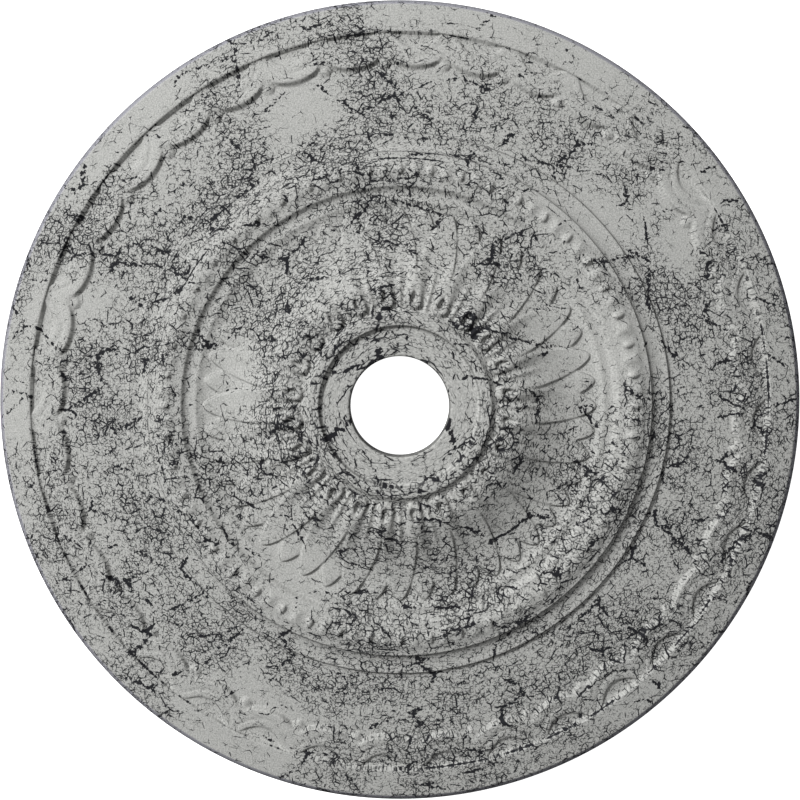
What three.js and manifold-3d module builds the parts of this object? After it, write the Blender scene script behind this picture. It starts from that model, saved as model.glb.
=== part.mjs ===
// A round ceiling rose, moulded in one piece, lying on its back with the ornament facing up.
// Millimetres. The origin is the centre of the back, and +Z points out of the ornament.
import * as THREE from "three";
import { mergeVertices } from "three/addons/utils/BufferGeometryUtils.js";
import Module from "manifold-3d";

// Outline and rim
const outerRadius = 400;
const edgeFoot = 1;
const edgeThickness = 6.2;
const edgeAcross = 5.2;
const rimInner = 366.9;
const rimTop = 10.8;
const rimStepSlope = 3;
const plateThickness = 4;

// Border of loops that hang inwards from the rim, with a bud at each joint
const loopCount = 36;
const loopShift = 2.5;
const loopDepth = 36;
const loopReach = 8.3;
const loopFullness = 2.1;
const loopCrest = 16;
const loopShoulder = 347;
const loopShoulderHeight = 13.5;
const loopHeel = 361.5;
const loopHeelHeight = 10.2;
const panelDepth = 16.4;
const panelReach = 3.6;
const panelFloor = 8.9;
const panelRise = 0.17;
const budFoot = 331;
const budHalfWidth = 6.2;
const budShoulder = 337.5;

// Plain field between the loops and the raised middle
const fieldInner = 271;
const fieldInnerHeight = 20.9;
const fieldOuter = 349;
const fieldFall = 0.125;

// Mouldings of the raised middle, from its lip to the ring of beads
const lipRadius = 263.4;
const lipHeight = 24.1;
const coveInner = 243.8;
const coveTop = 31.1;
const ringOuter = 239.3;
const ringOuterHeight = 32.1;
const ringInner = 213.6;
const ringInnerHeight = 33.8;
const ringHalfWidth = 5.5;
const ringTop = 34.9;
const beadCount = 48;
const beadCircle = 228.6;
const beadHalfWidth = 3.4;
const beadStretch = 1.7;
const beadRise = 1.5;

// Flat and small astragal inside the bead ring
const flatOuter = 207.4;
const flatHeight = 31.1;
const astragalRadius = 198.9;
const astragalTop = 31.5;
const valleyRadius = 189;
const valleyHeight = 30.2;

// Dome with two rows of pointed leaves
const leafCount = 24;
const leafTip = 190.3;
const leafJoin = 137;
const domeFoot = 190;
const domeFootHeight = 31.5;
const domeHead = 108.9;
const domeTop = 50.4;
const domeBend = 1.3;
const rowStep = 1.2;

// Tongues between the leaves, each with a drop-shaped eye in its round head
const tongueCentre = 101.8;
const tongueHeadRadius = 7.8;
const tonguePoint = 142;
const tongueRise = 1.8;
const eyeRadius = 4.2;
const eyePoint = 112.5;

// Hub ring round the hole, and the hollow in the back
const grooveRadius = 93.2;
const grooveFloor = 50.2;
const hubOuter = 86.6;
const hubInner = 79.6;
const hubTop = 55;
const recessRadius = 72.4;
const recessHeight = 51;
const holeRadius = 48.3;
const hollowRim = 158;
const hollowShoulder = 152;
const hollowDepth = 20;

const degree = Math.PI / 180;
const leafPitch = 360 / leafCount;
const outerFacets = 72;
const innerFacets = 48;
const innerShift = 180 / innerFacets;

const wasm = await Module();
wasm.setup();

// Turns a closed three.js geometry into a solid that can be joined and cut
function solid(geometry) {
  geometry.deleteAttribute("normal");
  geometry.deleteAttribute("uv");
  const merged = mergeVertices(geometry, 1e-4);
  const mesh = new wasm.Mesh({
    numProp: 3,
    vertProperties: merged.attributes.position.array,
    triVerts: new Uint32Array(merged.index.array),
  });
  return new wasm.Manifold(mesh);
}

// Turns a closed ring of [radius, height] points about the Z axis
function turned(points, facets, firstAngle = 0) {
  const profile = points.map(([radius, height]) => new THREE.Vector2(radius, height));
  profile.push(profile[0].clone());
  const lathe = new THREE.LatheGeometry(profile, facets, firstAngle * degree);
  return solid(lathe.rotateX(Math.PI / 2));
}

// A point of the plan: angles run clockwise from +Y, in degrees
function planPoint(radius, angle) {
  return new THREE.Vector2(radius * Math.sin(angle * degree), radius * Math.cos(angle * degree));
}

// An upright prism over a plan outline, tall enough to pass through every layer
function prism(outline, holes = []) {
  const shape = new THREE.Shape(outline.toReversed());
  for (const hole of holes) {
    shape.holes.push(new THREE.Path(hole));
  }
  return solid(new THREE.ExtrudeGeometry(shape, { depth: hubTop + 10, bevelEnabled: false }));
}

// Evenly spaced numbers from first to last, both included
function spread(first, last, steps) {
  return Array.from({ length: steps + 1 }, (unused, step) => first + ((last - first) * step) / steps);
}

// Angles of a repeat that starts at a given angle
function repeats(count, firstAngle) {
  return spread(firstAngle, firstAngle + 360 - 360 / count, count - 1);
}

// How far a loop's curve hangs in from the rim at an angle from its middle
function hang(depth, reach, angle) {
  return depth * (1 - (Math.abs(angle) / reach) ** loopFullness);
}

function fieldHeight(radius) {
  return fieldInnerHeight - fieldFall * (radius - fieldInner);
}

// Height of the dome: an ogee from the leaf tips up to the flat round the hub
function domeHeight(radius) {
  const along = THREE.MathUtils.clamp((domeFoot - radius) / (domeFoot - domeHead), 0, 1);
  const rise = THREE.MathUtils.smoothstep(along ** domeBend, 0, 1);
  return domeFootHeight + rise * (domeTop - domeFootHeight);
}

// Back plate with the rim: the outer edge, the rim band and the floor of the panels behind the loops
function makeRim() {
  const panelInner = rimInner - panelDepth - 2;
  return turned(
    [
      [hollowRim - 9, 0],
      [outerRadius, 0],
      [outerRadius, edgeFoot],
      [outerRadius - edgeAcross, edgeThickness],
      [rimInner, rimTop],
      [rimInner - rimStepSlope, panelFloor],
      [panelInner, panelFloor + panelRise * (rimInner - rimStepSlope - panelInner)],
      [panelInner - 4, plateThickness],
      [hollowRim - 9, plateThickness],
    ],
    outerFacets,
    loopShift,
  );
}

// Inner edge of the border over one repeat: half a bud, a loop and half a bud
function scallopEdge(middle) {
  const pitch = 360 / loopCount;
  const budHalfAngle = budHalfWidth / budShoulder / degree;
  const curveEnd = pitch / 2 - budHalfAngle;
  const curve = spread(-curveEnd, curveEnd, 4).map((angle) =>
    planPoint(rimInner - hang(loopDepth, loopReach, angle), middle + angle),
  );
  const joint = middle + pitch / 2;
  const budFeet = [-0.6, 0.6].map((share) => planPoint(budFoot, joint + budHalfAngle * share));
  return [...curve, ...budFeet];
}

// Border: a band with loops and buds along its inner edge and a half-round panel open in each loop
function makeBorder() {
  const middles = repeats(loopCount, loopShift);
  const backing = rimInner + 3;
  const circle = repeats(outerFacets, loopShift).map((angle) => planPoint(backing, angle));
  const panels = middles.map((middle) => {
    const curve = spread(-panelReach, panelReach, 4).map((angle) =>
      planPoint(rimInner - hang(panelDepth, panelReach, angle), middle + angle),
    );
    const corners = [panelReach, -panelReach].map((angle) => planPoint(rimInner + 1.5, middle + angle));
    return [...curve, ...corners];
  });
  const band = prism(circle, [middles.flatMap(scallopEdge), ...panels]);
  const innermost = budFoot - 1;
  const layer = turned(
    [
      [innermost, 1],
      [backing + 2, 1],
      [backing + 2, loopHeelHeight],
      [loopHeel, loopHeelHeight],
      [loopShoulder, loopShoulderHeight],
      [innermost, loopCrest],
    ],
    outerFacets,
    loopShift,
  );
  return band.intersect(layer);
}

// Field and raised middle: lip, cove, bead ring, flat, astragal, body of the dome, hub and hole
function makeMiddle() {
  const coveOuter = lipRadius - 1.6;
  const coveMiddle = [
    coveOuter - (coveOuter - coveInner) * 0.55,
    lipHeight + (coveTop - lipHeight) * 0.3,
  ];
  return turned(
    [
      [holeRadius, plateThickness / 2],
      [fieldOuter, plateThickness / 2],
      [fieldOuter, fieldHeight(fieldOuter)],
      [fieldInner, fieldInnerHeight],
      [lipRadius, lipHeight],
      [coveOuter, lipHeight],
      coveMiddle,
      [coveInner, coveTop],
      [ringOuter, ringOuterHeight],
      [beadCircle + ringHalfWidth, ringTop],
      [beadCircle - ringHalfWidth, ringTop],
      [ringInner, ringInnerHeight],
      [flatOuter, flatHeight],
      [astragalRadius, astragalTop],
      [valleyRadius, valleyHeight],
      [leafJoin + 30, valleyHeight],
      [leafJoin - 6, valleyHeight + 6],
      [grooveRadius, grooveFloor],
      [hubOuter, hubTop],
      [hubInner, hubTop],
      [recessRadius, recessHeight],
      [holeRadius, recessHeight],
    ],
    innerFacets,
    innerShift,
  );
}

// Beads: a ring of low drops that stand on the flat top of their ring, longer than wide
function makeBeads() {
  const profile = [
    new THREE.Vector2(0, ringTop - 4),
    new THREE.Vector2(beadHalfWidth, ringTop - 4),
    new THREE.Vector2(beadHalfWidth, ringTop),
    new THREE.Vector2(0, ringTop + beadRise),
  ];
  const drops = repeats(beadCount, 0).map((angle) => {
    const place = planPoint(beadCircle, angle);
    const drop = new THREE.LatheGeometry(profile, 6);
    drop.rotateX(Math.PI / 2).scale(1, beadStretch, 1);
    return solid(drop.rotateZ(-angle * degree).translate(place.x, place.y, 0));
  });
  return wasm.Manifold.union(drops);
}

// One row of leaves: a star of points over the dome, its tips on the given angles
function makeLeafRow(firstAngle, drop) {
  const star = repeats(leafCount, firstAngle).flatMap((middle) =>
    spread(-leafPitch / 2, leafPitch / 2, 4)
      .slice(1)
      .map((angle) => {
        const outward = 1 - Math.abs(angle) / (leafPitch / 2);
        return planPoint(leafJoin + (leafTip - leafJoin) * outward, middle + angle);
      }),
  );
  const radii = [leafTip + 1, 168, 141, 127, domeHead, grooveRadius + 1];
  const skin = radii.map((radius) => [radius, domeHeight(radius) - drop]);
  const layer = turned(
    [
      [grooveRadius + 1, valleyHeight - 3],
      [leafTip + 1, valleyHeight - 3],
      ...skin,
    ],
    innerFacets,
    innerShift,
  );
  return prism(star).intersect(layer);
}

// A drop in plan: a round head towards the hub and a point away from it
function dropOutline(headCentre, headRadius, point, middle, steps) {
  const head = spread(75, 285, steps).map((turn) => {
    const across = headRadius * Math.sin(turn * degree);
    const radius = headCentre + headRadius * Math.cos(turn * degree);
    return planPoint(radius, middle + across / headCentre / degree);
  });
  return [planPoint(point, middle), ...head];
}

// Tongues: raised drops between the leaves, with the eye left open in each head
function makeTongues() {
  const tongues = repeats(leafCount, leafPitch / 2).map((middle) => {
    const outline = dropOutline(tongueCentre, tongueHeadRadius, tonguePoint, middle, 4);
    const eye = dropOutline(tongueCentre, eyeRadius, eyePoint, middle, 3);
    return prism(outline, [eye]);
  });
  const innermost = tongueCentre - tongueHeadRadius - 1;
  const radii = [tonguePoint + 1, 127, domeHead, innermost];
  const layer = turned(
    [
      [innermost, grooveFloor - 4],
      [domeHead, grooveFloor - 4],
      [tonguePoint + 1, domeHeight(tonguePoint + 1) - 6],
      ...radii.map((radius) => [radius, domeHeight(radius) + tongueRise]),
    ],
    innerFacets,
    innerShift,
  );
  return wasm.Manifold.union(tongues).intersect(layer);
}

// The hollow behind the dome, open to the back and running into the hole
function makeHollow() {
  return turned(
    [
      [holeRadius - 20, -5],
      [hollowRim, -5],
      [hollowRim, 0],
      [hollowShoulder, hollowDepth],
      [holeRadius - 20, hollowDepth],
    ],
    innerFacets,
    innerShift,
  );
}

function meshOf(body, name, material) {
  const made = body.getMesh();
  const geometry = new THREE.BufferGeometry();
  geometry.setAttribute("position", new THREE.BufferAttribute(made.vertProperties, 3));
  geometry.setIndex(new THREE.BufferAttribute(made.triVerts, 1));
  geometry.computeVertexNormals();
  const mesh = new THREE.Mesh(geometry, material);
  mesh.name = name;
  return mesh;
}

const cracklePaint = new THREE.MeshStandardMaterial({ color: 0xafb0ab, roughness: 0.8, metalness: 0 });

const rose = wasm.Manifold.union([
  makeRim(),
  makeMiddle(),
  makeBorder(),
  makeBeads(),
  makeLeafRow(0, 0),
  makeLeafRow(leafPitch / 2, rowStep),
  makeTongues(),
]).subtract(makeHollow());

const part = new THREE.Group();
part.name = "ceiling_rose_part";
part.add(meshOf(rose, "ceiling_rose", cracklePaint));

export default part;
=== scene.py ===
import math

import bmesh
import bpy
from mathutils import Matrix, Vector


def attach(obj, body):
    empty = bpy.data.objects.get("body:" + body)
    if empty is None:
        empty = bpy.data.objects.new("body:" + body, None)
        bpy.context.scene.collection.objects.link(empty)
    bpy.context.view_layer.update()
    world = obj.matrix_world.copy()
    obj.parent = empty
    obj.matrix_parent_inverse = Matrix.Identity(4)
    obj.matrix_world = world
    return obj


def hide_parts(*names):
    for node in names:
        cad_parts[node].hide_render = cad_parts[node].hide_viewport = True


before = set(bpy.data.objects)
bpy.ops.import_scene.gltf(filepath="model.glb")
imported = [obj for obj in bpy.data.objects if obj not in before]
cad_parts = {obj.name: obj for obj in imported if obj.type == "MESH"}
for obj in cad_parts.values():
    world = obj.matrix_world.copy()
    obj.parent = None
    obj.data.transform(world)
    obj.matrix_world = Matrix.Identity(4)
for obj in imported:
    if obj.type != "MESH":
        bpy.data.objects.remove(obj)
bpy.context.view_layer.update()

# Turned blank of the ceiling rose
# The rose is one casting of rigid foam, moulded in a silicone mould that was taken from a carved
# plaster pattern. The pattern began as a turned disc, so the mesh does too: this is its profile in
# millimetres from the outer edge over the front to the hole, and back under the hollow behind.
OUTER_RADIUS = 400.0
EDGE_ACROSS = 5.0
RIM_INNER = 366.9
RIM_TOP = 11.8
BORDER_OUTER = 366.2
BORDER_INNER = 325.5
FIELD_INNER = 272.3
FIELD_INNER_HEIGHT = 20.2
FIELD_FALL = 0.097
FIELD_BOW = 0.00042
BEADS_OUTER = 239.3
BEADS_INNER = 215.6
LEAVES_OUTER = 196.0
LEAVES_INNER = 90.6
HUB_TOP = 55.0
RECESS_HEIGHT = 51.0
HOLE_RADIUS = 48.3
HOLLOW_RIM = 158.0
HOLLOW_SHOULDER = 152.0
HOLLOW_DEPTH = 20.0


def field_height(radius):
    out = radius - FIELD_INNER
    return FIELD_INNER_HEIGHT - FIELD_FALL * out - FIELD_BOW * out**2


def evenly(first, last, height, steps):
    """Rings of a band that is pressed to its ornament later: only their radius counts here."""
    return [(first + (last - first) * step / steps, height) for step in range(steps + 1)]


edge_and_rim = [
    (OUTER_RADIUS - 0.7, 0.0),
    (OUTER_RADIUS, 0.6),
    (OUTER_RADIUS - 0.2, 1.1),
    (OUTER_RADIUS - EDGE_ACROSS, 5.8),
    (OUTER_RADIUS - EDGE_ACROSS - 0.6, 6.25),
    (OUTER_RADIUS - EDGE_ACROSS - 1.6, 6.5),
    (OUTER_RADIUS - EDGE_ACROSS - 3.0, 6.8),
    (RIM_INNER + 13.0, 8.95),
    (RIM_INNER + 1.8, RIM_TOP - 0.2),
    (RIM_INNER + 0.5, RIM_TOP),
]
border_band = evenly(BORDER_OUTER, BORDER_INNER, 9.0, 32)
field = [(radius, field_height(radius)) for radius in (314.0, 300.0, 286.0, FIELD_INNER + 2.0)]
lip = [
    (FIELD_INNER, FIELD_INNER_HEIGHT),
    (270.3, 20.45),
    (268.6, 20.8),
    (267.3, 21.2),
    (266.4, 21.65),
    (265.8, 22.2),
    (265.4, 22.85),
    (264.75, 23.9),
    (264.4, 24.22),
    (264.0, 24.34),
    (262.9, 24.37),
    (260.7, 24.42),
]
cove = [
    (258.6, 24.6),
    (256.6, 24.9),
    (254.5, 25.35),
    (252.35, 26.0),
    (250.16, 26.85),
    (248.4, 27.8),
    (247.2, 28.65),
    (246.4, 29.4),
    (245.8, 30.15),
    (245.35, 30.9),
    (245.1, 31.12),
    (244.7, 31.22),
    (243.5, 31.4),
    (241.5, 31.9),
]
bead_band = evenly(BEADS_OUTER, BEADS_INNER, 28.0, 23)
step_and_astragal = [
    (213.9, 34.47),
    (213.2, 34.42),
    (212.6, 34.28),
    (212.1, 34.0),
    (211.5, 33.55),
    (210.9, 33.08),
    (210.2, 32.55),
    (209.5, 32.08),
    (208.7, 31.65),
    (207.8, 31.32),
    (206.7, 31.1),
    (205.0, 31.0),
    (202.5, 31.2),
    (201.0, 31.45),
    (200.0, 31.6),
    (199.2, 31.65),
    (198.4, 31.6),
    (197.4, 31.4),
]
leaf_band = evenly(LEAVES_OUTER, LEAVES_INNER, 30.0, 50)
hub_and_hole = [
    (89.2, 53.18),
    (87.8, 54.3),
    (87.3, 54.7),
    (86.6, 54.95),
    (85.8, HUB_TOP),
    (79.6, HUB_TOP),
    (78.5, 54.96),
    (77.9, 54.8),
    (77.5, 54.4),
    (76.9, 53.5),
    (76.3, 52.6),
    (75.6, 51.9),
    (74.7, 51.4),
    (73.6, 51.12),
    (72.2, RECESS_HEIGHT),
    (70.8, RECESS_HEIGHT),
    (HOLE_RADIUS + 3.4, RECESS_HEIGHT),
    (HOLE_RADIUS + 2.2, RECESS_HEIGHT),
    (HOLE_RADIUS + 1.0, RECESS_HEIGHT - 0.25),
    (HOLE_RADIUS + 0.25, RECESS_HEIGHT - 0.7),
    (HOLE_RADIUS, RECESS_HEIGHT - 1.4),
]
hollow_back = [
    (HOLE_RADIUS, HOLLOW_DEPTH + 0.8),
    (HOLE_RADIUS + 0.8, HOLLOW_DEPTH),
    (HOLLOW_SHOULDER - 3.0, HOLLOW_DEPTH),
    (HOLLOW_SHOULDER - 0.6, HOLLOW_DEPTH - 0.7),
    (HOLLOW_SHOULDER + 0.6, HOLLOW_DEPTH - 3.0),
    (HOLLOW_RIM - 0.4, 0.9),
    (HOLLOW_RIM + 0.8, 0.0),
]
front_profile = (
    edge_and_rim
    + border_band
    + field
    + lip
    + cove
    + bead_band
    + step_and_astragal
    + leaf_band
    + hub_and_hole
)

COARSE_COLUMNS = 240
FINE_CUTS = 2
rose_mesh = bmesh.new()
ring_of = rose_mesh.verts.layers.float.new("ring")
profile_verts = []
for side, points in ((1.0, front_profile), (0.0, hollow_back)):
    for radius, height in points:
        vert = rose_mesh.verts.new((0.0, radius, height))
        vert[ring_of] = radius * side
        profile_verts.append(vert)
for first, second in zip(profile_verts, profile_verts[1:] + profile_verts[:1]):
    rose_mesh.edges.new((first, second))
bmesh.ops.spin(
    rose_mesh,
    geom=rose_mesh.verts[:] + rose_mesh.edges[:],
    cent=(0.0, 0.0, 0.0),
    axis=(0.0, 0.0, 1.0),
    angle=2.0 * math.pi,
    steps=COARSE_COLUMNS,
    use_merge=True,
)
fine_bands = (
    (BORDER_OUTER, BORDER_INNER),
    (BEADS_OUTER, BEADS_INNER),
    (LEAVES_OUTER, LEAVES_INNER),
)
fine_edges = []
for edge in rose_mesh.edges:
    ring, other = (vert[ring_of] for vert in edge.verts)
    if abs(ring - other) > 0.01:
        continue
    if any(inner - 0.01 <= ring <= outer + 0.01 for outer, inner in fine_bands):
        fine_edges.append(edge)
bmesh.ops.subdivide_edges(rose_mesh, edges=fine_edges, cuts=FINE_CUTS, use_grid_fill=True)


# Border of loops
# Loops hang in from the rim like swags, each with two bands, a thin sunk line between them and a
# hollow half-round panel behind, and a small bud fills each joint. They were carved in the pattern,
# so the rings of the blank bend to follow each loop's own edges and are then raised to its height.
LOOP_PITCH = 10.0
LOOP_MIDDLE = 2.5
LOOP_FULLNESS = 2.1
LOOP_TOP_DEPTH = 33.3
LOOP_FOOT_DEPTH = 39.5
LOOP_REACH = 8.3
LINE_DEPTH = 25.6
LINE_REACH = 5.07
LINE_SINK = 0.6
LINE_HALF_WIDTH = 1.6
PANEL_DEPTH = 16.9
PANEL_REACH = 3.85
PANEL_FLOOR = 8.8
PANEL_RISE = 2.4
PANEL_BOW = 1.5
PANEL_WALL = (-1.0, 1.4)
PANEL_SIDE_FALL = 2.0
FILLET_FOOT = 362.0
FILLET_BEND = 3.5
FILLET_BELOW_RIM = 0.3
LOOP_SECTION = [
    (BORDER_OUTER, 10.1),
    (361.9, 10.2),
    (355.0, 12.0),
    (348.8, 13.25),
    (345.7, 14.0),
    (342.2, 14.7),
    (340.2, 15.1),
    (338.2, 15.6),
    (336.2, 16.15),
    (334.2, 16.5),
    (BORDER_INNER, 16.5),
]
BUD_FOOT = 329.0
BUD_SHOULDER = 336.5
BUD_TIP = 349.0
BUD_HALF_WIDTH = 6.3
BUD_SINK = 1.2
BUD_SINK_FADE = (336.0, 344.0)
BUD_SINK_SHARE = 0.8
GUIDE_GAP = 0.8
BUD_GAP = 1.2
LINE_FADE = 1.2
BORDER_SHARES = (0.0, 9.0 / 32.0, 15.0 / 32.0, 20.0 / 32.0, 28.0 / 32.0, 1.0)


def ease(low, high, value):
    """0 below low, 1 above high, and a smooth step between them."""
    share = min(max((value - low) / (high - low), 0.0), 1.0)
    return share * share * (3.0 - 2.0 * share)


def between(points, value):
    """Straight-line reading of a falling list of (radius, height) points."""
    for (radius, height), (next_radius, next_height) in zip(points, points[1:]):
        if value >= next_radius:
            share = (radius - value) / (radius - next_radius)
            return height + (next_height - height) * min(max(share, 0.0), 1.0)
    return points[-1][1]


def from_middle(angle, middle, pitch):
    """Angle from the middle of the nearest repeat, in degrees, below 0 before it."""
    return (angle - middle + pitch / 2.0) % pitch - pitch / 2.0


def across(radius, angle):
    return radius * math.radians(angle)


def hang(depth, reach, angle):
    return RIM_INNER - depth * (1.0 - (angle / reach) ** LOOP_FULLNESS)


def border_guides(angle):
    """Radii of the border's edges at an angle from the middle of a loop, from the rim inwards."""
    panel = hang(PANEL_DEPTH, PANEL_REACH, angle) if angle < PANEL_REACH else RIM_INNER
    panel = min(panel, BORDER_OUTER - GUIDE_GAP)
    line = min(hang(LINE_DEPTH, LINE_REACH, angle), panel - GUIDE_GAP)
    top = min(hang(LOOP_TOP_DEPTH, LOOP_REACH, angle), line - GUIDE_GAP)
    foot = min(hang(LOOP_FOOT_DEPTH, LOOP_REACH, angle), top - GUIDE_GAP)
    bud_sideways = across(BUD_SHOULDER, LOOP_PITCH / 2.0 - angle) / BUD_HALF_WIDTH
    if bud_sideways < 1.0:
        bud_drop = (BUD_SHOULDER - BUD_FOOT) * (1.0 - math.sqrt(1.0 - bud_sideways**2))
        foot = min(foot, BUD_FOOT + bud_drop - BUD_GAP)
    return [BORDER_OUTER, panel, line, top, foot, BORDER_INNER]


def bud_share(radius, joint_angle):
    """1 on top of the bud and 0 outside it: a drop with its point towards the rim."""
    sideways = across(radius, joint_angle) / BUD_HALF_WIDTH
    if radius < BUD_SHOULDER:
        reach = math.hypot((BUD_SHOULDER - radius) / (BUD_SHOULDER - BUD_FOOT), sideways)
    else:
        reach = (radius - BUD_SHOULDER) / (BUD_TIP - BUD_SHOULDER) + sideways
    return 1.0 - ease(0.6, 1.1, reach)


def press_border(ring, angle):
    loop_angle = abs(from_middle(angle, LOOP_MIDDLE, LOOP_PITCH))
    guides = border_guides(loop_angle)
    share = (BORDER_OUTER - ring) / (BORDER_OUTER - BORDER_INNER)
    step = next(n for n in range(5) if share <= BORDER_SHARES[n + 1] + 1e-6)
    part = (share - BORDER_SHARES[step]) / (BORDER_SHARES[step + 1] - BORDER_SHARES[step])
    radius = guides[step] + (guides[step + 1] - guides[step]) * part
    # Bands of the loop, with a thin line sunk between them
    band = between(LOOP_SECTION, radius)
    line_distance = (radius - guides[2]) / LINE_HALF_WIDTH
    line_share = 1.0 - ease(LINE_REACH - LINE_FADE, LINE_REACH, loop_angle)
    height = band - LINE_SINK * line_share * math.exp(-(line_distance**2))
    # Panel sunk behind the loop, hollow
    fullness = (min(loop_angle, PANEL_REACH) / PANEL_REACH) ** LOOP_FULLNESS
    inside = PANEL_DEPTH * (1.0 - fullness) - (RIM_INNER - radius)
    if loop_angle > PANEL_REACH:
        inside -= across(radius, loop_angle - PANEL_REACH) * PANEL_SIDE_FALL
    bend = (loop_angle / PANEL_REACH) ** (LOOP_FULLNESS - 1.0)
    side_slope = PANEL_DEPTH * LOOP_FULLNESS / PANEL_REACH * bend
    inside /= math.hypot(1.0, side_slope / across(radius, 1.0))
    rise = max(FILLET_FOOT - radius, 0.0) / (FILLET_FOOT - RIM_INNER + PANEL_DEPTH)
    panel = PANEL_FLOOR + PANEL_RISE * rise**PANEL_BOW
    height += (panel - height) * ease(*PANEL_WALL, inside)
    # Hollow fillet up to the edge of the rim
    fillet = max(radius - FILLET_FOOT, 0.0) / (BORDER_OUTER - FILLET_FOOT)
    height += (RIM_TOP - FILLET_BELOW_RIM - height) * fillet**FILLET_BEND
    # Wall of the loop down to the field, and the bud that fills the joint
    field_here = field_height(radius)
    top, foot = guides[3], hang(LOOP_FOOT_DEPTH, LOOP_REACH, loop_angle)
    height = field_here + (height - field_here) * ease(foot, top, radius)
    bud_sink = BUD_SINK * (1.0 - BUD_SINK_SHARE * ease(*BUD_SINK_FADE, radius))
    bud_rise = band - bud_sink - field_here
    bud = field_here + bud_rise * bud_share(radius, LOOP_PITCH / 2.0 - loop_angle)
    return radius, max(height, bud), angle


# Ring of beads
# A half-round ring is dished out in shallow rounds with a narrow bar left between one dish and the
# next, and in each dish stands a small drop with its head towards the hub. The pattern's dishes were
# cut with a round scraper and the drops left standing, so the columns crowd at their steep sides.
BEAD_PITCH = 7.5
BEAD_HEAD = 227.5
BEAD_HALF_WIDTH = 3.2
BEAD_HEAD_LENGTH = 4.0
BEAD_TAIL_LENGTH = 8.0
BEAD_RISE = 2.3
BEAD_FULLNESS = 0.6
CROWDING_FADE = 3.0
DISH_CENTRE = 229.0
DISH_DEPTH = 1.4
DISH_FLOOR = 10.4
DISH_RIM = 13.4
DISH_INNER_FADE = (1.0, 10.0)
DISH_OUTER_FADE = (0.0, 8.3)
BEAD_COLUMNS = (0.0, 0.30, 0.58, 0.86, 1.5, 2.35, 2.95, 3.42)
RING_SECTION = [
    (BEADS_OUTER, 32.6),
    (238.5, 33.0),
    (237.5, 33.5),
    (236.4, 34.1),
    (235.4, 34.65),
    (234.3, 35.15),
    (233.3, 35.55),
    (232.2, 35.9),
    (231.2, 36.2),
    (230.2, 36.4),
    (229.1, 36.6),
    (228.1, 36.7),
    (226.5, 36.8),
    (225.2, 36.72),
    (224.3, 36.55),
    (223.3, 36.3),
    (222.3, 35.95),
    (221.4, 35.6),
    (220.4, 35.2),
    (219.5, 34.9),
    (218.6, 34.7),
    (217.6, 34.55),
    (BEADS_INNER, 34.5),
]


def press_beads(ring, angle):
    offset = from_middle(angle, 0.0, BEAD_PITCH)
    crowded = math.copysign(BEAD_COLUMNS[round(abs(offset) * 2.0)], offset)
    from_inner, from_outer = ring - BEADS_INNER, BEADS_OUTER - ring
    crowding = ease(0.0, CROWDING_FADE, from_inner) * ease(0.0, CROWDING_FADE, from_outer)
    moved = offset + (crowded - offset) * crowding
    sideways = across(ring, abs(moved))
    height = between(RING_SECTION, ring)
    # Dish, which fades out before the ring's two feet
    within = ease(*DISH_INNER_FADE, from_inner) * ease(*DISH_OUTER_FADE, from_outer)
    distance = math.hypot(ring - DISH_CENTRE, sideways)
    height -= DISH_DEPTH * within * (1.0 - ease(DISH_FLOOR, DISH_RIM, distance))
    # Drop that stands in the dish
    half_length = BEAD_HEAD_LENGTH if ring < BEAD_HEAD else BEAD_TAIL_LENGTH
    reach = math.hypot((ring - BEAD_HEAD) / half_length, sideways / BEAD_HALF_WIDTH)
    height += BEAD_RISE * max(1.0 - reach**2, 0.0) ** BEAD_FULLNESS
    return ring, height, angle + moved - offset


# Dome of leaves
# Two rows of pointed leaves lie over a dome that rises to the hub, the front row over the back one.
# Nearer the hub each front leaf is hollowed into a flute with a thin midrib, and between the flutes
# stand tongues with a drop-shaped eye in their round heads.
LEAF_PITCH = 15.0
LEAF_TIP = 192.8
LEAF_LENGTH = 48.6
LEAF_HALF_WIDTH = 7.0
LEAF_POINT = 1.8
EDGE_ROLL = 2.9
VALLEY_FLOOR = 29.5
VALLEY_RISE = 1.35
TIP_RISE = 2.3
ROW_STEP = 1.7
ROW_STEP_FADE = (158.0, 182.0)
TIP_FADE = (166.0, 182.0)
VALLEY_EDGE = (187.0, 198.5)
DOME_FOOT = 190.0
DOME_FOOT_HEIGHT = 31.7
DOME_HEAD = 107.0
DOME_TOP = 53.3
DOME_BEND = 1.3
FLUTES_START = 137.0
FLUTE_DEPTH = 2.9
FLUTE_FADE = (128.0, 170.0)
FLUTE_CROWDING = 0.8
SCOOP_DEPTH = 0.7
SCOOP_FADE = (94.0, 104.0)
HEAD_CENTRE = 101.2
TONGUE_HALF_WIDTH = 6.0
TONGUE_TAPER = 0.17
FLANK_FOOT = 9.4
FLANK_SPREAD = 0.12
MIDRIB_RISE = 1.3
MIDRIB_HALF_WIDTH = 1.7
MIDRIB_FADE = (124.0, 142.0)
EYE_CENTRE = 102.8
EYE_RADIUS = 4.5
EYE_LENGTH = 11.5
EYE_DEPTH = 3.2
EYE_BEND = 1.5
EYE_WALL = (0.4, 1.0)
HUB_FOOT = 52.06
HUB_SLOPE = 0.8
HUB_FILLET = 51.2
HUB_FILLET_SLOPE = 0.5
HUB_FILLET_START = 1.4
LEAF_SHARES = (0.0, 2.0 / 50.0, 7.0 / 50.0, 12.0 / 50.0, 18.0 / 50.0, 24.0 / 50.0, 1.0)


def dome_height(radius):
    along = min(max((DOME_FOOT - radius) / (DOME_FOOT - DOME_HEAD), 0.0), 1.0)
    return DOME_FOOT_HEIGHT + (DOME_TOP - DOME_FOOT_HEIGHT) * ease(0.0, 1.0, along**DOME_BEND)


def leaf_outline(angle):
    return LEAF_TIP - LEAF_LENGTH * (angle / LEAF_HALF_WIDTH) ** LEAF_POINT


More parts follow.
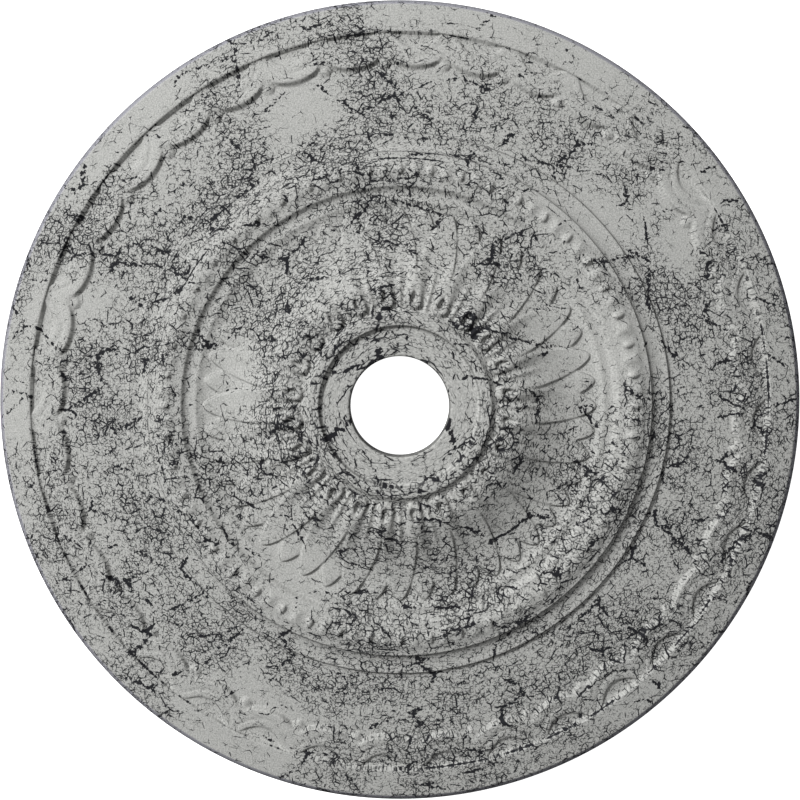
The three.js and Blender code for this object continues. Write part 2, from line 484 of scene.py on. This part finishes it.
def roll_length(angle):
    """How far in along the radius a leaf's edge rolls over: more where the edge slants more."""
    bend = (angle / LEAF_HALF_WIDTH) ** (LEAF_POINT - 1.0)
    side_slope = LEAF_LENGTH * LEAF_POINT / LEAF_HALF_WIDTH * bend
    return EDGE_ROLL * math.hypot(1.0, side_slope / across(leaf_outline(angle), 1.0))


def leaf_lift(angle, radius):
    """0 outside a leaf's outline, rolling over its edge to 1 inside."""
    return ease(0.0, roll_length(angle), leaf_outline(angle) - radius)


def leaf_guides(leaf_angle, tongue_angle):
    """Radii of the leaves' edges and of the inner side of their roll, from the tips inwards."""
    front = leaf_outline(leaf_angle)
    outline = max(front, leaf_outline(tongue_angle))
    outline_roll = outline - roll_length(min(leaf_angle, tongue_angle))
    back_roll = max(outline_roll, min(front, outline - 0.4))
    front_edge = max(min(front, back_roll - 0.2), FLUTES_START + 1.0)
    front_roll = max(front_edge - roll_length(leaf_angle), FLUTES_START + 0.5)
    return [LEAVES_OUTER, outline, back_roll, front_edge, front_roll, FLUTES_START, LEAVES_INNER]


def press_leaves(ring, angle):
    leaf_angle = abs(from_middle(angle, 0.0, LEAF_PITCH))
    tongue_angle = LEAF_PITCH / 2.0 - leaf_angle
    guides = leaf_guides(leaf_angle, tongue_angle)
    share = (LEAVES_OUTER - ring) / (LEAVES_OUTER - LEAVES_INNER)
    step = next(n for n in range(6) if share <= LEAF_SHARES[n + 1] + 1e-6)
    part = (share - LEAF_SHARES[step]) / (LEAF_SHARES[step + 1] - LEAF_SHARES[step])
    if step == 5:
        part = max(part, 0.0) ** FLUTE_CROWDING
    radius = guides[step] + (guides[step + 1] - guides[step]) * part
    dome = dome_height(radius)
    # Flute in the lower part of the front leaf, closed round the tongue's head at the hub
    tongue = across(radius, tongue_angle)
    from_tongue = math.hypot(tongue, max(HEAD_CENTRE - radius, 0.0))
    beyond_head = max(radius - HEAD_CENTRE, 0.0)
    flank_top = max(TONGUE_HALF_WIDTH - TONGUE_TAPER * beyond_head, 1.0)
    flank_foot = FLANK_FOOT + FLANK_SPREAD * beyond_head
    depth = FLUTE_DEPTH * (1.0 - ease(*FLUTE_FADE, radius))
    depth += SCOOP_DEPTH * (1.0 - ease(*SCOOP_FADE, radius))
    front = dome - depth * ease(flank_top, flank_foot, from_tongue)
    # Midrib of the leaf
    rib = across(radius, leaf_angle) / MIDRIB_HALF_WIDTH
    front += MIDRIB_RISE * (1.0 - ease(*MIDRIB_FADE, radius)) * math.exp(-(rib**2))
    # Eye in the tongue's head
    if radius < EYE_CENTRE:
        eye = math.hypot(tongue, EYE_CENTRE - radius) / EYE_RADIUS
    else:
        eye_along = (radius - EYE_CENTRE) / EYE_LENGTH
        eye = (eye_along**EYE_BEND + (tongue / EYE_RADIUS) ** EYE_BEND) ** (1.0 / EYE_BEND)
    front -= EYE_DEPTH * (1.0 - ease(*EYE_WALL, eye))
    # Back leaf over the valley, the front leaf over both, and the foot of the hub
    row_step = ROW_STEP * (1.0 - ease(*ROW_STEP_FADE, radius))
    back = dome - row_step
    valley = VALLEY_FLOOR + VALLEY_RISE * ease(*VALLEY_EDGE, radius)
    valley = max(valley, back - TIP_RISE * ease(*TIP_FADE, radius))
    height = valley + leaf_lift(tongue_angle, radius) * max(back - valley, 0.0)
    height += leaf_lift(leaf_angle, radius) * (front - height)
    from_hub = radius - LEAVES_INNER
    height = max(height, HUB_FOOT - HUB_SLOPE * from_hub)
    return radius, max(height, HUB_FILLET - HUB_FILLET_SLOPE * (from_hub - HUB_FILLET_START)), angle


# Pressing the ornament into the blank
# Every ring of the three ornamented bands goes to its edge and its height, and the whole casting
# then goes from millimetres to metres. It is one closed shell with a plain moulded back.
presses = (
    (BORDER_OUTER, BORDER_INNER, press_border),
    (BEADS_OUTER, BEADS_INNER, press_beads),
    (LEAVES_OUTER, LEAVES_INNER, press_leaves),
)
for vert in rose_mesh.verts:
    ring = vert[ring_of]
    turn = math.atan2(vert.co.x, vert.co.y)
    if ring == 0.0:
        continue
    for outer, inner, press in presses:
        if inner - 0.01 <= ring <= outer + 0.01:
            column = round(math.degrees(turn) * 2.0) / 2.0
            radius, height, column = press(ring, column)
            turn = math.radians(column)
            vert.co = (radius * math.sin(turn), radius * math.cos(turn), height)
bmesh.ops.scale(rose_mesh, vec=Vector((0.001, 0.001, 0.001)), verts=rose_mesh.verts[:])
bmesh.ops.remove_doubles(rose_mesh, verts=rose_mesh.verts[:], dist=1e-6)
bmesh.ops.recalc_face_normals(rose_mesh, faces=rose_mesh.faces[:])
for face in rose_mesh.faces:
    face.smooth = True
rose_data = bpy.data.meshes.new("moulded_ceiling_rose")
rose_mesh.to_mesh(rose_data)
rose_mesh.free()
rose = bpy.data.objects.new("moulded_ceiling_rose", rose_data)
bpy.context.scene.collection.objects.link(rose)
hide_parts("ceiling_rose")
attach(rose, "root")

# Crackle paint
# A pale grey crackle coat was brushed over a near-black ground and shrank as it dried. It tore into
# flakes of a few millimetres, left broken hairline cracks between them, opened here and there into
# bold branching cracks, and stayed whole in patches where it was thin.
PAINT_COLOUR = "BFBFBC"
PAINT_WARM_COLOUR = "B8B9B5"
EDGE_COLOUR = "B4B4BD"
GROUND_COLOUR = "17181D"
MILLIMETRE = 1000.0
SKIRT = 0.6
CRUMB = 2.8
FLAKE = 6.0
LARGE_FLAKE = 13.0
BOLD_SPACING = 38.0
BOLD_LEAN = 40.0
BOLD_LENGTHEN = 0.6
WHOLE_PATCHES = [
    (60.0, 392.0, 90.0),
    (190.0, 335.0, 90.0),
    (-260.0, 285.0, 80.0),
    (-385.0, 15.0, 70.0),
    (165.0, 55.0, 80.0),
    (270.0, 180.0, 55.0),
    (-160.0, 5.0, 50.0),
    (-155.0, -325.0, 85.0),
    (-105.0, 305.0, 55.0),
    (-330.0, 95.0, 45.0),
    (165.0, 180.0, 55.0),
    (-95.0, -145.0, 55.0),
]


def linear(hex_colour):
    """sRGB hex to the linear colour that a shader takes."""
    channels = [int(hex_colour[n : n + 2], 16) / 255.0 for n in (0, 2, 4)]
    return [c / 12.92 if c <= 0.04045 else ((c + 0.055) / 1.055) ** 2.4 for c in channels] + [1.0]


crackle = bpy.data.materials.new("crackle_paint")
crackle.use_nodes = True
crackle.node_tree.nodes.clear()


def add_node(kind, inputs, output=0, **settings):
    """Adds a node to the paint with its settings and links, and gives one of its outputs."""
    node = crackle.node_tree.nodes.new("ShaderNode" + kind)
    for name, value in settings.items():
        setattr(node, name, value)
    for key, value in inputs.items():
        if isinstance(value, bpy.types.NodeSocket):
            crackle.node_tree.links.new(value, node.inputs[key])
        else:
            node.inputs[key].default_value = value
    return node.outputs[output] if node.outputs else node


# The pattern lies in plan, and runs down the edge and the hole's wall like a skirt
coordinates = add_node("TexCoord", {}, "Object")
in_millimetres = add_node("VectorMath", {0: coordinates, 1: [MILLIMETRE] * 3}, operation="MULTIPLY")
in_plan = add_node("VectorMath", {0: in_millimetres, 1: (1.0, 1.0, 0.0)}, operation="MULTIPLY")
from_centre = add_node("VectorMath", {0: in_plan}, "Value", operation="LENGTH")
outward = add_node("VectorMath", {0: in_plan}, operation="NORMALIZE")
upward = add_node("SeparateXYZ", {"Vector": in_millimetres}, "Z")
skirt_shift = add_node("Math", {0: upward, 1: -SKIRT}, operation="MULTIPLY")
skirt = add_node("VectorMath", {0: outward, "Scale": skirt_shift}, operation="SCALE")
place = add_node("VectorMath", {0: in_plan, 1: skirt}, operation="ADD")


def wander(size, reach, detail):
    """The place on the surface, pushed about by noise of a size in millimetres."""
    push = add_node(
        "TexNoise",
        {"Vector": place, "Scale": 1.0 / size, "Detail": detail},
        "Color",
        noise_dimensions="2D",
    )
    centred = add_node("VectorMath", {0: push, 1: (0.5, 0.5, 0.5)}, operation="SUBTRACT")
    pushed = {0: centred, 1: (reach, reach, 0.0), 2: place}
    return add_node("VectorMath", pushed, operation="MULTIPLY_ADD")


def spots(size, detail):
    """Three numbers round 0.5 that wander over the surface in spots of a size in millimetres."""
    cloud = add_node(
        "TexNoise",
        {"Vector": place, "Scale": 1.0 / size, "Detail": detail},
        "Color",
        noise_dimensions="2D",
    )
    return add_node("SeparateColor", {"Color": cloud}).node.outputs


def crack_width(spot, closed, widest, change):
    """Half the width of a crack in millimetres: closed is below 0 where there is none."""
    limits = {"Value": spot, "From Min": 0.34, "From Max": 0.66, "To Min": closed, "To Max": widest}
    width = add_node("MapRange", limits, interpolation_type="SMOOTHSTEP")
    return add_node("Math", {0: width, 1: change}, operation="ADD")


def opened(half_width, distance, softness):
    """1 inside a crack and 0 outside it."""
    depth = add_node("Math", {0: half_width, 1: distance}, operation="SUBTRACT")
    limits = {"Value": depth, "From Min": -softness, "From Max": softness}
    return add_node("MapRange", limits, interpolation_type="SMOOTHSTEP")


def flake_edges(vector, spacing):
    """Distance in millimetres from the nearest line between flakes of a spacing."""
    cells = add_node(
        "TexVoronoi",
        {"Vector": vector, "Scale": 1.0 / spacing},
        "Distance",
        feature="DISTANCE_TO_EDGE",
        voronoi_dimensions="2D",
    )
    return add_node("Math", {0: cells, 1: spacing}, operation="MULTIPLY")


# Hairlines round crumbs, flakes and large flakes, fewer in patches where the coat stayed whole
patch_spots = spots(64.0, 6.0)
hand_spots = spots(9.0, 3.0)
crumb_spots = spots(3.4, 2.0)
recess_limits = {"Value": from_centre, "From Min": 68.0, "From Max": 80.0, "To Min": -0.23, "To Max": 0.0}
in_recess = add_node("MapRange", recess_limits)
rim_limits = {"Value": from_centre, "From Min": 366.0, "From Max": 372.0, "To Min": 0.0, "To Max": -0.08}
on_rim = add_node("MapRange", rim_limits)
patch_place = wander(60.0, 50.0, 3.0)
in_patch = 0.0
for across_plan, up_plan, reach in WHOLE_PATCHES:
    middle = (across_plan, up_plan, 0.0)
    to_patch = add_node("VectorMath", {0: patch_place, 1: middle}, "Value", operation="DISTANCE")
    patch_limits = {"Value": to_patch, "From Min": 0.2 * reach, "From Max": 1.3 * reach, "To Min": -0.46}
    patch_limits["To Max"] = 0.0
    one_patch = add_node("MapRange", patch_limits, interpolation_type="SMOOTHSTEP")
    in_patch = add_node("Math", {0: one_patch, 1: in_patch}, operation="MINIMUM")
recess_and_rim = add_node("Math", {0: in_recess, 1: on_rim}, operation="ADD")
thicker_coat = add_node("Math", {0: recess_and_rim, 1: in_patch}, operation="ADD")
whole_coat = crack_width(patch_spots[0], -0.17, 0.16, thicker_coat)
ragged = wander(2.2, 2.0, 3.0)
crumb_lines = opened(
    crack_width(crumb_spots[1], -0.15, 0.5, whole_coat), flake_edges(ragged, CRUMB), 0.2
)
flake_lines = opened(
    crack_width(hand_spots[1], -0.2, 0.56, whole_coat), flake_edges(ragged, FLAKE), 0.22
)
large_lines = opened(
    crack_width(hand_spots[2], -0.75, 0.85, whole_coat), flake_edges(ragged, LARGE_FLAKE), 0.25
)

# Bold cracks lie mostly along one slant, ragged and blotchy
bold_ragged = wander(8.0, 9.0, 6.0)
slant = {"Vector": bold_ragged, "Rotation": (0.0, 0.0, math.radians(-BOLD_LEAN))}
slant["Scale"] = (BOLD_LENGTHEN, 1.0, 1.0)
slanted = add_node("Mapping", slant)
in_bold = add_node("Math", {0: in_patch, 1: 2.5}, operation="MULTIPLY")
blotches = crack_width(crumb_spots[0], -1.0, 0.8, in_bold)
bold_spots = spots(30.0, 2.0)
bold_cracks = opened(
    crack_width(bold_spots[0], -1.65, 1.5, blotches), flake_edges(slanted, BOLD_SPACING), 0.25
)

# The coat also tore along the foot of the rim and along the foot of the bead ring
to_rim_foot = add_node("Math", {0: from_centre, 1: RIM_INNER - 1.4}, operation="SUBTRACT")
to_bead_foot = add_node("Math", {0: from_centre, 1: BEADS_OUTER}, operation="SUBTRACT")
from_rim_foot = add_node("Math", {0: to_rim_foot}, operation="ABSOLUTE")
from_bead_foot = add_node("Math", {0: to_bead_foot}, operation="ABSOLUTE")
from_foot = add_node("Math", {0: from_rim_foot, 1: from_bead_foot}, operation="MINIMUM")
nicks = add_node("Math", {0: blotches, 1: 0.5}, operation="MULTIPLY")
torn_lines = opened(crack_width(bold_spots[1], -1.7, 0.9, nicks), from_foot, 0.3)

faint_lines = add_node("Math", {0: crumb_lines, 1: 0.8}, operation="MULTIPLY")
hairlines = add_node("Math", {0: faint_lines, 1: flake_lines}, operation="MAXIMUM")
wide_cracks = add_node("Math", {0: bold_cracks, 1: torn_lines}, operation="MAXIMUM")
open_cracks = add_node("Math", {0: large_lines, 1: wide_cracks}, operation="MAXIMUM")
all_cracks = add_node("Math", {0: hairlines, 1: open_cracks}, operation="MAXIMUM")

# Paint that is a little uneven and grainy, darkened on steep walls by painted shade, and bluer over the
# outer edge
mixed_paint = {0: hand_spots[1], 6: linear(PAINT_COLOUR), 7: linear(PAINT_WARM_COLOUR)}
paint = add_node("Mix", mixed_paint, 2, data_type="RGBA")
edge_limits = {
    "Value": from_centre,
    "From Min": OUTER_RADIUS - EDGE_ACROSS - 1.2,
    "From Max": OUTER_RADIUS - EDGE_ACROSS + 0.8,
}
over_edge = add_node("MapRange", edge_limits, interpolation_type="SMOOTHSTEP")
# The outer edge is given a slightly darker, bluer grey
edge_tinted_paint = {0: over_edge, 6: paint, 7: linear(EDGE_COLOUR)}
edged_paint = add_node("Mix", edge_tinted_paint, 2, data_type="RGBA")
grain_cloud = add_node(
    "TexNoise", {"Vector": place, "Scale": 1.0 / 1.4, "Detail": 1.0}, noise_dimensions="2D"
)
grain_limits = {"Value": grain_cloud, "From Min": 0.3, "From Max": 0.7, "To Min": 0.72, "To Max": 1.1}
grain = add_node("MapRange", grain_limits)
facing = add_node("TexCoord", {}, "Normal")
levelness = add_node("SeparateXYZ", {"Vector": facing}, "Z")
either_way_up = add_node("Math", {0: levelness}, operation="ABSOLUTE")
# Painted shade: the colour falls to half on the steepest walls, standing in for the shade that lies on
# walls and in creases
wall_shade_limits = {"Value": either_way_up, "From Min": 0.5, "From Max": 0.93, "To Min": 0.5, "To Max": 1.0}
painted_wall_shade = add_node("MapRange", wall_shade_limits, interpolation_type="SMOOTHSTEP")
grain_and_wall_shade = add_node("Math", {0: grain, 1: painted_wall_shade}, operation="MULTIPLY")
grained_and_wall_shaded_paint = add_node("VectorMath", {0: edged_paint, "Scale": grain_and_wall_shade}, operation="SCALE")

# The back has one plain coat with no cracks
front_limits = {"Value": levelness, "From Min": -0.6, "From Max": -0.2}
on_front = add_node("MapRange", front_limits)
front_cracks = add_node("Math", {0: all_cracks, 1: on_front}, operation="MULTIPLY")
cracked_paint = {0: front_cracks, 6: grained_and_wall_shaded_paint, 7: linear(GROUND_COLOUR)}
colour = add_node("Mix", cracked_paint, 2, data_type="RGBA")
roughness = add_node("MapRange", {"Value": front_cracks, "To Min": 0.82, "To Max": 0.92})
brush_marks = add_node("Bump", {"Height": grain_cloud, "Strength": 0.2, "Distance": 0.0004})
shader_inputs = {"Base Color": colour, "Roughness": roughness, "Normal": brush_marks, "IOR": 1.45}
shader = add_node("BsdfPrincipled", shader_inputs)
add_node("OutputMaterial", {"Surface": shader})
rose_data.materials.append(crackle)

# Floor
# A plain pale board that the rose lies on, face up. It isn't part of the object.
FLOOR_SIZE = 4.0
floor_mesh = bmesh.new()
bmesh.ops.create_grid(floor_mesh, x_segments=1, y_segments=1, size=FLOOR_SIZE)
bmesh.ops.translate(floor_mesh, vec=(0.0, 0.0, -0.0005), verts=floor_mesh.verts[:])
floor_data = bpy.data.meshes.new("floor")
floor_mesh.to_mesh(floor_data)
floor_mesh.free()
floor = bpy.data.objects.new("floor", floor_data)
bpy.context.scene.collection.objects.link(floor)
board = bpy.data.materials.new("pale_board")
board.use_nodes = True
board.node_tree.nodes["Principled BSDF"].inputs["Base Color"].default_value = linear("F4F4F3")
board.node_tree.nodes["Principled BSDF"].inputs["Roughness"].default_value = 0.9
board.node_tree.nodes["Principled BSDF"].inputs["Emission Color"].default_value = (1.0, 1.0, 1.0, 1.0)
board.node_tree.nodes["Principled BSDF"].inputs["Emission Strength"].default_value = 1.0
floor_data.materials.append(board)
floor.visible_diffuse = False
floor.visible_glossy = False

# Light
# One broad soft lamp high on the left of the photograph's top, and an even pale room around it.
TOWARDS_LAMP = Vector((-0.6375, 0.498, 0.588))
lamp_data = bpy.data.lights.new("soft_lamp", "SUN")
lamp_data.energy = 3.8
lamp_data.angle = math.radians(9.0)
lamp = bpy.data.objects.new("soft_lamp", lamp_data)
lamp.rotation_euler = TOWARDS_LAMP.to_track_quat("Z", "Y").to_euler()
bpy.context.scene.collection.objects.link(lamp)
room = bpy.data.worlds.new("pale_room")
bpy.context.scene.world = room
room.use_nodes = True
room.node_tree.nodes["Background"].inputs["Color"].default_value = (1.0, 1.0, 1.0, 1.0)
room.node_tree.nodes["Background"].inputs["Strength"].default_value = 0.23
bpy.context.scene.view_settings.view_transform = "Standard"

# Camera
# It looks straight down on the rose from 1.1 metres, a little from the photograph's top.
CAMERA_PLACE = Vector((0.0002, 0.0440, 1.105))
CAMERA_TARGET = Vector((0.0002, 0.0048, 0.006))
camera_data = bpy.data.cameras.new("camera")
camera_data.lens = 49.70
camera_data.sensor_width = 36.0
camera = bpy.data.objects.new("camera", camera_data)
camera.location = CAMERA_PLACE
sight = CAMERA_TARGET - CAMERA_PLACE
camera.rotation_euler = (math.atan2(sight.y, -sight.z), 0.0, 0.0)
bpy.context.scene.collection.objects.link(camera)
bpy.context.scene.camera = camera
